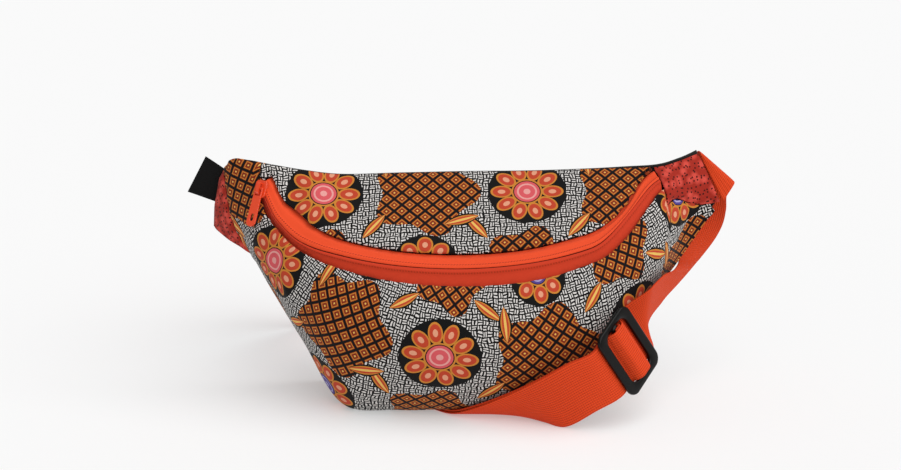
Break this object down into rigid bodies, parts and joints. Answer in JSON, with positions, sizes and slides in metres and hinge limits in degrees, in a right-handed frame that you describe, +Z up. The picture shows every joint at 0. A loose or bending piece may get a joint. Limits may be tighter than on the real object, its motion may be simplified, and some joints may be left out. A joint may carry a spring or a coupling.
{
  "type": "belt bag",
  "caption": "Soft belt bag with a curved front zip, standing on its base, with a webbing waist belt and an adjuster.",
  "frame": {"origin": "middle of the footprint on the floor, the belt included", "axes": "+X to the viewer's right along the bag, +Y from its front to its back, +Z up"},
  "size_m": [0.3812, 0.2115, 0.1654],
  "materials": {
    "print_cloth": "printed plain-weave polyester",
    "back_cloth": "matt black padded cloth",
    "zip_tape": "woven orange zip tape",
    "zip_metal": "orange enamel",
    "wing_cloth": "dotted red polyester",
    "label_cloth": "woven black tape",
    "webbing": "ribbed orange webbing",
    "moulded_plastic": "satin black"
  },
  "bodies": {
    "bag": {"front_panel": "print_cloth", "top_panel": "print_cloth", "back_panel": "back_cloth", "zip_tape_upper": "zip_tape", "zip_tape_lower": "zip_tape", "zip_slider": "zip_metal", "wing_left": "wing_cloth", "wing_right": "wing_cloth", "label_tab": "label_cloth", "belt_long": "webbing", "belt_short": "webbing", "adjuster": "moulded_plastic", "clasp": "moulded_plastic"},
    "zip_pull": {"zip_pull": "zip_metal"}
  },
  "joints": [
    {"name": "zip_pull_hinge", "type": "hinge", "parent": "bag", "child": "zip_pull", "pos_m": [-0.13677, -0.02314, 0.14598], "axis": [-0.8883, 0.4593, 0], "range_deg": [0, 150]}
  ]
}
